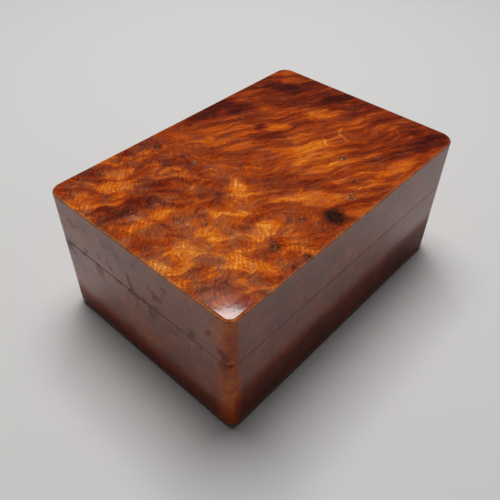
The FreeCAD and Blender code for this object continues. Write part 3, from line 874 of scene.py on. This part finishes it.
VELVET_STOPS = [
    (0.00, srgb(34, 3, 7)),
    (0.45, srgb(84, 9, 18)),
    (0.75, srgb(122, 20, 30)),
    (1.00, srgb(160, 44, 52)),
]
FELT_STOPS = [
    (0.00, srgb(12, 12, 13)),
    (0.50, srgb(30, 30, 31)),
    (0.80, srgb(52, 51, 51)),
    (1.00, srgb(84, 82, 80)),
]


def brass_material(name, bright, stained, roughness):
    """Old brass, brushed along X, under a partly matt film of oxide with brown stains and small pits."""
    graph = Graph(name)
    place = graph.millimetres()
    brushed = graph.noise(graph.mapped(place, size=(5.0, 0.14, 0.14)), 1.0, 3, 0.7)
    cloud = graph.noise(warped(graph, place, 2.0, 1.6), 1.8, 4, 0.65)
    stain = graph.remap(cloud, 0.42, 0.66, smooth=True)
    pits = graph.remap(graph.noise(place, 0.22, 1), 0.64, 0.72)
    colour = graph.mix(graph.times(stain, 0.75), bright, stained)
    colour = graph.mix(graph.times(brushed, 0.35), colour, srgb(120, 84, 40))
    colour = graph.mix(graph.times(pits, 0.7), colour, srgb(58, 36, 20))
    height = weighted_sum(graph, 0.5, [(brushed, 0.7), (pits, -0.9)])
    uneven = weighted_sum(graph, roughness, [(stain, 0.22), (brushed, 0.18)])
    return graph.surface(
        base_color=colour,
        metallic=graph.maths("MULTIPLY_ADD", stain, -0.2, 0.6),
        roughness=uneven,
        normal=graph.bump(height, 0.25, 0.05),
    )


def velvet_material():
    """Wine-red velvet: a pile that lightens at grazing angles, brushed into patches, with a little lint."""
    graph = Graph("velvet")
    place = graph.millimetres()
    nap = graph.remap(graph.noise(warped(graph, place, 6.0, 9.0), 13, 1.5, 0.5), 0.2, 0.8, smooth=True)
    streaks = fibres(graph, warped(graph, place, 2.0, 5.0), 3.0, 0.35, 20, 2.0)
    pile = graph.noise(place, 0.16, 2, 0.7)
    tone = weighted_sum(graph, 0.5, [(nap, 0.4), (streaks, 0.45), (pile, 1.2)])
    lint = graph.remap(fibres(graph, warped(graph, place, 3.0, 2.0), 1.4, 0.12, 60, 1.0), 0.74, 0.78)
    colour = graph.mix(graph.times(lint, 0.35), graph.ramp(tone, VELVET_STOPS), srgb(176, 150, 140))
    return graph.surface(
        base_color=colour,
        roughness=0.95,
        specular_ior_level=0.1,
        sheen_weight=graph.remap(nap, 0, 1, 0.45, 0.9),
        sheen_roughness=0.35,
        sheen_tint=srgb(226, 120, 124),
        normal=graph.bump(weighted_sum(graph, 0.5, [(pile, 1.0), (streaks, 0.6)]), 0.6, 0.12),
    )


def felt_material():
    """Black wool felt: matted fibres in every direction, a little dusty."""
    graph = Graph("felt")
    place = graph.millimetres()
    hairs = 0.0
    for turn in (15, 75, 135):
        strand = fibres(graph, warped(graph, place, 1.2, 1.5), 1.8, 0.12, turn, 1.5)
        hairs = graph.maths("MAXIMUM", graph.remap(strand, 0.52, 0.72), hairs)
    matting = graph.noise(place, 1.4, 4, 0.7)
    tone = weighted_sum(graph, 0.4, [(matting, 0.9), (hairs, 0.5)])
    return graph.surface(
        base_color=graph.ramp(tone, FELT_STOPS),
        roughness=0.97,
        specular_ior_level=0.1,
        sheen_weight=0.35,
        sheen_roughness=0.6,
        normal=graph.bump(weighted_sum(graph, 0.5, [(hairs, 0.8), (matting, 0.8)]), 0.8, 0.15),
    )


top_wood = top_wood_material()
side_wood = side_wood_material()
leaf_brass = brass_material("leaf_brass", srgb(196, 158, 86), srgb(112, 76, 40), 0.34)
screw_brass = brass_material("screw_brass", srgb(214, 176, 98), srgb(96, 62, 34), 0.28)
velvet = velvet_material()
felt = felt_material()

# ---------------------------------------------------------------- pieces


def build_panels():
    """The top panel, with slight waves in its lacquer, and the floor panel: each has a tongue inside."""
    tongue_x, tongue_y = HALF_X - WALL - TONGUE_GAP, HALF_Y - WALL - TONGUE_GAP

    def lacquer_waves(x, y):
        return LACQUER_WAVE * soft_noise(x, y, seed=11, pitch=9.0)

    low, high = node_box("lid_top_panel")
    shell = slab(
        outer_z=high.z - LACQUER_WAVE,
        inner_z=node_box("lid_front_wall")[1].z,
        half_x=HALF_X,
        half_y=HALF_Y,
        corner=corner_radius,
        arris=TOP_ARRIS,
        step=PANEL_STEP,
        relief=lacquer_waves,
        tongue=(tongue_x, tongue_y, low.z),
    )
    add_piece(shell.build("top_panel", [top_wood, side_wood]), "lid", "top_wood", "lid_top_panel")

    low, high = node_box("base_floor_panel")
    shell = slab(
        outer_z=low.z,
        inner_z=node_box("base_front_wall")[0].z,
        half_x=HALF_X,
        half_y=HALF_Y,
        corner=corner_radius,
        arris=LOWER_ARRIS,
        step=FLOOR_STEP,
        relief=flat_relief,
        tongue=(tongue_x, tongue_y, high.z),
    )
    add_piece(shell.build("floor_panel", [side_wood, side_wood]), "base", "side_wood", "base_floor_panel")


def build_walls():
    """The front and end walls; the back walls, with their hinge recesses, stay as the frame has them."""
    base_foot = node_box("base_front_wall")[0].z
    front_rim = node_box("lid_front_wall")[0].z
    back_rim = node_box("lid_back_wall")[0].z

    def level(y):
        return base_foot

    def sloping(y):
        return front_rim + (back_rim - front_rim) * (y + HALF_Y) / (2 * HALF_Y)

    for side, turn, half_span, reach in (
        ("front", 0, HALF_X, HALF_Y),
        ("left", -90, HALF_Y, HALF_X),
        ("right", 90, HALF_Y, HALF_X),
    ):
        plan = (turn, half_span, reach)
        wall(f"base_{side}", f"base_{side}_wall", *plan, GLUED_ARRIS, RIM_ARRIS, level, "base")
        wall(f"lid_{side}", f"lid_{side}_wall", *plan, RIM_ARRIS, GLUED_ARRIS, sloping, "lid")


def puffed(points, faces, glued, limit):
    """Where a pad's points come to rest when its filling presses the cloth out, by a short cloth simulation.

    It runs at SIM_SCALE times the size, where the solver is steady. No point moves further than limit.
    """
    mesh = bpy.data.meshes.new("pad_simulation")
    mesh.from_pydata((points * MM * SIM_SCALE).tolist(), [], faces)
    pad = bpy.data.objects.new("pad_simulation", mesh)
    bpy.context.scene.collection.objects.link(pad)
    pad.vertex_groups.new(name="glued").add(np.flatnonzero(glued).tolist(), 1.0, "REPLACE")
    cloth = pad.modifiers.new("cloth", "CLOTH")
    cloth.settings.quality = 6
    cloth.settings.mass = 0.3
    cloth.settings.tension_stiffness = cloth.settings.compression_stiffness = 12
    cloth.settings.bending_stiffness = 0.6
    cloth.settings.vertex_group_mass = "glued"
    cloth.settings.use_pressure = True
    cloth.settings.uniform_pressure_force = 4
    cloth.settings.shrink_min = -0.05
    cloth.settings.effector_weights.gravity = 0
    for frame_number in range(1, SIM_FRAMES + 1):
        bpy.context.scene.frame_set(frame_number)
    settled = pad.evaluated_get(bpy.context.evaluated_depsgraph_get()).to_mesh()
    found = np.array([vertex.co for vertex in settled.vertices]) / (MM * SIM_SCALE)
    bpy.context.scene.frame_set(1)
    bpy.data.objects.remove(pad)
    bpy.data.meshes.remove(mesh)
    move = found - points
    length = np.linalg.norm(move, axis=1, keepdims=True)
    return points + move * np.minimum(1, limit / np.maximum(length, 1e-9))


def lining(node, body, up, seed):
    """A thin velvet-covered pad glued to a panel: its free face swells and its edges are rolled."""
    low, high = node_box(node)
    thickness = high.z - low.z
    back, way = (low.z, 1) if up else (high.z, -1)

    def unevenness(x, y):
        return LINING_WAVE * soft_noise(x, y, seed, pitch=14.0)

    half_x, half_y = high.x - LINING_SLACK, high.y - LINING_SLACK
    shell = slab(
        outer_z=back + way * START_SHARE * thickness,
        inner_z=back,
        half_x=half_x,
        half_y=half_y,
        corner=lining_corner,
        arris=ROLL_SHARE * thickness,
        step=LINING_STEP,
        relief=unevenness,
    )
    points = shell.points
    rise = np.abs(points[:, 2] - back) / thickness
    points = puffed(points, shell.faces, rise < 0.02, SWELL_SHARE * thickness)
    points[:, 2] = np.clip(points[:, 2], low.z, high.z)
    points[:, :2] = np.clip(points[:, :2], np.array(low)[:2], np.array(high)[:2])
    add_piece(make_soft(f"{node}_velvet", points, shell.faces, velvet), body, "lining_cloth", node)


def lining_corner(x, y):
    """The linings' corners are cut nearly square."""
    return np.full_like(x, LINING_CORNER)


def make_soft(name, points, faces, material):
    """A soft closed mesh, smoothed by one subdivision."""
    thing = make_object(name, points, faces, [material])
    thing.modifiers.clear()
    thing.data.attributes.remove(thing.data.attributes["sharp_edge"])
    thing.modifiers.new("smooth", "SUBSURF")
    return thing


def build_soft_parts():
    """The two velvet linings and the felt pad."""
    lining("base_lining", "base", up=True, seed=5)
    lining("lid_lining", "lid", up=False, seed=6)
    build_felt()


def build_felt():
    """The felt under the base: rounded, slightly ragged edges and an uneven lower face."""
    low, high = node_box("base_felt_pad")

    def dimples(x, y):
        return FELT_DIMPLE * (1 + soft_noise(x, y, seed=21, pitch=6.0))

    def felt_corner(x, y):
        return np.full_like(x, CORNER - (HALF_X - high.x))

    half_x, half_y = high.x - FELT_RAG, high.y - FELT_RAG
    shell = slab(
        outer_z=low.z,
        inner_z=high.z,
        half_x=half_x,
        half_y=half_y,
        corner=felt_corner,
        arris=FELT_SHARE * (high.z - low.z),
        step=FELT_STEP,
        relief=dimples,
    )
    points = shell.points
    inset = np.minimum(half_x - np.abs(points[:, 0]), half_y - np.abs(points[:, 1]))
    rag = FELT_RAG * soft_noise(points[:, 0], points[:, 1], seed=22, pitch=2.4) * np.clip(1 - inset, 0, 1)
    points[:, :2] *= 1 + rag[:, None] / half_y
    add_piece(make_soft("felt_pad", points, shell.faces, felt), "base", "felt", "base_felt_pad")


def paint_cad_parts():
    """Materials of the nodes that stay as the frame has them: the back walls and the hinges."""
    for name, thing in NODES.items():
        if thing.hide_render:
            continue
        if "screws" in name:
            finish = screw_brass
        elif "hinge" in name:
            finish = leaf_brass
        else:
            finish = side_wood
        thing.data.materials.clear()
        thing.data.materials.append(finish)


def build_stage():
    """A pale floor under a dim sky, a key lamp and a small lamp that glints in the lacquer, in metres."""
    bpy.ops.mesh.primitive_plane_add(size=3)
    floor = bpy.context.object
    floor.name = "floor"
    floor.data.materials.append(Graph("floor").surface(base_color=(0.66, 0.65, 0.64, 1), roughness=0.8))
    world = bpy.data.worlds.new("studio")
    bpy.context.scene.world = world
    world.use_nodes = True
    sky = world.node_tree.nodes["Background"]
    sky.inputs["Color"].default_value = (0.95, 0.97, 1.0, 1)
    sky.inputs["Strength"].default_value = 0.05
    # The key lamp stays out of reflections, so its disc does not hide the burl when seen from above.
    key = add_light("key", place=(0.13, 0.145, 0.70), size=0.5, power=5.2)
    key.visible_glossy = False
    add_light("glint", place=(0.262, 0.282, 0.62), size=0.09, power=0.25)


def add_light(name, place, size, power):
    """A round lamp that faces the middle of the box: place and size in metres, power in watts."""
    data = bpy.data.lights.new(name, "AREA")
    data.shape = "DISK"
    data.size = size
    data.energy = power
    lamp = bpy.data.objects.new(name, data)
    bpy.context.scene.collection.objects.link(lamp)
    lamp.location = place
    middle = Vector((0, 0, 0.02))
    lamp.rotation_euler = (middle - Vector(place)).to_track_quat("-Z", "Y").to_euler()
    return lamp


def build_camera():
    """The camera: it looks down from the front left at a point inside the box, and rolls slightly."""
    azimuth, elevation, roll = math.radians(-48.0), math.radians(43.6), math.radians(0.75)
    aim = Vector((-12.7, -6.3, 22.0)) * MM
    distance = 168.4
    focal_length = 40.8
    level = math.cos(elevation)
    back = Vector((math.sin(azimuth) * level, -math.cos(azimuth) * level, math.sin(elevation)))
    data = bpy.data.cameras.new("camera")
    data.lens = focal_length
    data.clip_start = 0.01
    camera = bpy.data.objects.new("camera", data)
    bpy.context.scene.collection.objects.link(camera)
    camera.location = aim + back * distance * MM
    camera.rotation_mode = "QUATERNION"
    facing = (-back).to_track_quat("-Z", "Y")
    camera.rotation_quaternion = facing @ Matrix.Rotation(roll, 3, "Z").to_quaternion()
    bpy.context.scene.camera = camera


build_panels()
build_walls()
build_soft_parts()
paint_cad_parts()
build_stage()
build_camera()
bpy.context.scene.view_settings.view_transform = "Standard"
